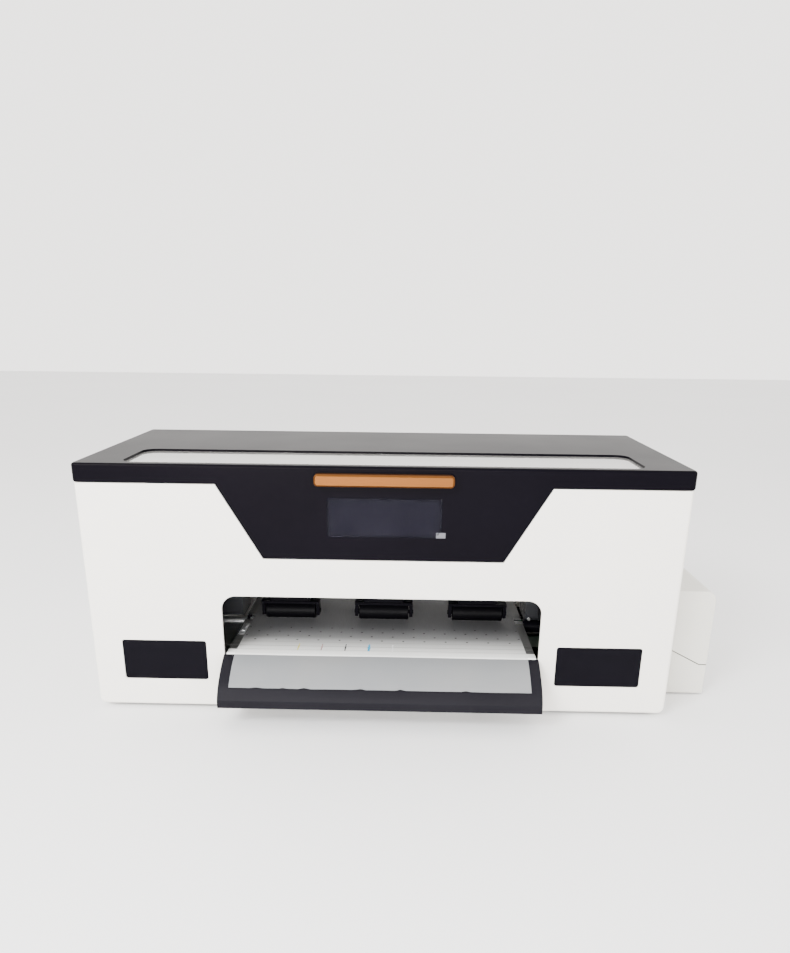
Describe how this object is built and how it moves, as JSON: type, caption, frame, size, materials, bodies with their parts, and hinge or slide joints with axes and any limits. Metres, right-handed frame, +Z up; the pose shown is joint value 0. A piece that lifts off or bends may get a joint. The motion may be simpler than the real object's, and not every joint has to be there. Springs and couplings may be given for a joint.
{
  "type": "desktop film transfer printer",
  "caption": "Desktop film printer with a hinged window lid, screen, perforated platen under pinch rollers, curved front apron, sliding print carriage and a side ink box.",
  "frame": {"origin": "middle of the underside of the whole object's outer box, on the table", "axes": "+X to the right seen from the front, +Y towards the back, +Z up"},
  "size_m": [0.7164, 0.322, 0.284],
  "materials": {
    "white_paint": "satin white powder coat",
    "white_plastic": "satin white moulding",
    "black_plastic": "fine matt black moulding",
    "lid_paint": "satin black powder coat",
    "black_steel": "satin black powder coat",
    "grey_plastic": "matt dark grey moulding",
    "clear_acrylic": "clear smoked acrylic",
    "copper_anodised": "copper-coloured anodised aluminium",
    "screen_glass": "black cover glass",
    "green_board": "circuit board",
    "bare_aluminium": "satin aluminium",
    "anodised_platen": "dark anodised aluminium",
    "steel": "ground steel",
    "rubber": "matt black rubber",
    "film": "matt translucent release film",
    "ink_plastic": "translucent tank plastic",
    "cap_plastic": "moulded caps"
  },
  "bodies": {
    "base": {"front_panel": "white_paint", "back_panel": "white_paint", "left_side_cover": "white_paint", "right_side_cover": "white_paint", "base_tray": "black_steel", "rubber_feet": "rubber", "case_screws": "steel", "left_blank_panel": "black_plastic", "right_blank_panel": "black_plastic", "base_hinge_leaves": "steel", "apron": "black_steel", "vacuum_platen": "anodised_platen", "rear_platen": "anodised_platen", "vacuum_chamber": "grey_plastic", "transfer_film": "film", "fan_frames": "black_plastic", "feed_motor": "black_steel", "feed_belt": "rubber", "left_side_frame": "black_steel", "right_side_frame": "black_steel", "x_beam": "bare_aluminium", "linear_rail": "steel", "x_motor": "black_steel", "x_belt": "rubber", "left_end_cover": "grey_plastic", "right_end_cover": "grey_plastic", "capping_base": "grey_plastic", "side_tray": "white_plastic", "ink_tanks": "ink_plastic", "ink_tank_caps": "cap_plastic", "power_supply": "bare_aluminium", "main_board": "green_board", "power_inlet": "black_plastic"},
    "lid": {"lid_shell": "lid_paint", "window_panel": "clear_acrylic", "handle": "copper_anodised", "display_glass": "screen_glass", "display_module": "green_board", "lid_hinge_leaves": "steel"},
    "carriage": {"carriage_body": "black_steel", "print_head": "grey_plastic", "ink_dampers": "ink_plastic", "uv_lamp": "bare_aluminium"},
    "x_motor_pulley_body": {"x_motor_pulley": "bare_aluminium"},
    "x_idler_pulley_body": {"x_idler_pulley": "bare_aluminium"},
    "grit_roller_body": {"grit_roller": "steel", "feed_pulley": "bare_aluminium"},
    "feed_motor_pulley_body": {"feed_motor_pulley": "bare_aluminium"},
    "pinch_lift": {"pinch_arms": "black_plastic", "pinch_lift_shaft": "steel", "pinch_springs": "steel"},
    "pinch_left": {"pinch_roller_left": "rubber"},
    "pinch_middle": {"pinch_roller_middle": "rubber"},
    "pinch_right": {"pinch_roller_right": "rubber"},
    "cap": {"cap_block": "rubber", "wiper_blade": "rubber"},
    "ink_cover": {"side_cover": "white_plastic"},
    "rocker": {"power_rocker": "black_plastic"},
    "rear_fan": {"rear_fan_rotor": "black_plastic"},
    "vacuum_fan": {"vacuum_fan_rotor": "black_plastic"}
  },
  "joints": [
    {"name": "lid_hinge", "type": "hinge", "parent": "base", "child": "lid", "pos_m": [-0.03175, 0.15754, 0.264], "axis": [-1, 0, 0], "range_deg": [0, 75]},
    {"name": "carriage_slide", "type": "slide", "parent": "base", "child": "carriage", "axis": [1, 0, 0], "range_m": [-0.43, 0]},
    {"name": "x_motor_spin", "type": "hinge", "parent": "base", "child": "x_motor_pulley_body", "pos_m": [-0.31675, 0.00954, 0.152], "axis": [0, 0, 1], "range_deg": [-2832.9, 0]},
    {"name": "x_idler_spin", "type": "hinge", "parent": "base", "child": "x_idler_pulley_body", "pos_m": [0.26425, 0.00954, 0.152], "axis": [0, 0, 1], "range_deg": [-2832.9, 0]},
    {"name": "grit_roller_spin", "type": "hinge", "parent": "base", "child": "grit_roller_body", "pos_m": [-0.03175, -0.00146, 0.0637], "axis": [1, 0, 0], "continuous": true},
    {"name": "feed_motor_spin", "type": "hinge", "parent": "base", "child": "feed_motor_pulley_body", "pos_m": [-0.35075, -0.05446, 0.034], "axis": [1, 0, 0], "continuous": true},
    {"name": "pinch_lift_turn", "type": "hinge", "parent": "base", "child": "pinch_lift", "pos_m": [-0.03175, 0.03354, 0.0976], "axis": [-1, 0, 0], "range_deg": [0, 8]},
    {"name": "cap_lift", "type": "slide", "parent": "base", "child": "cap", "axis": [0, 0, 1], "range_m": [-0.006, 0]},
    {"name": "ink_cover_hinge", "type": "hinge", "parent": "base", "child": "ink_cover", "pos_m": [0.29955, 0.03854, 0.1295], "axis": [0, -1, 0], "range_deg": [0, 75]},
    {"name": "power_rocker_tilt", "type": "hinge", "parent": "base", "child": "rocker", "pos_m": [-0.27175, 0.15104, 0.036], "axis": [1, 0, 0], "range_deg": [-16, 0]},
    {"name": "rear_fan_spin", "type": "hinge", "parent": "base", "child": "rear_fan", "pos_m": [-0.27175, 0.15104, 0.125], "axis": [0, 1, 0], "continuous": true},
    {"name": "vacuum_fan_spin", "type": "hinge", "parent": "base", "child": "vacuum_fan", "pos_m": [-0.03175, -0.05396, 0.038], "axis": [0, 0, 1], "continuous": true},
    {"name": "pinch_left_spin", "type": "hinge", "parent": "pinch_lift", "child": "pinch_left", "pos_m": [-0.14875, -0.00146, 0.0806], "axis": [1, 0, 0], "continuous": true},
    {"name": "pinch_middle_spin", "type": "hinge", "parent": "pinch_lift", "child": "pinch_middle", "pos_m": [-0.03175, -0.00146, 0.0806], "axis": [1, 0, 0], "continuous": true},
    {"name": "pinch_right_spin", "type": "hinge", "parent": "pinch_lift", "child": "pinch_right", "pos_m": [0.08525, -0.00146, 0.0806], "axis": [1, 0, 0], "continuous": true}
  ],
  "couplings": [
    {"joint": "x_motor_spin", "follows": "carriage_slide", "rad_per_m": 114.94},
    {"joint": "x_idler_spin", "follows": "carriage_slide", "rad_per_m": 114.94},
    {"joint": "feed_motor_spin", "follows": "grit_roller_spin", "ratio": 2.3125},
    {"joint": "pinch_left_spin", "follows": "grit_roller_spin", "ratio": -0.6},
    {"joint": "pinch_middle_spin", "follows": "grit_roller_spin", "ratio": -0.6},
    {"joint": "pinch_right_spin", "follows": "grit_roller_spin", "ratio": -0.6}
  ]
}
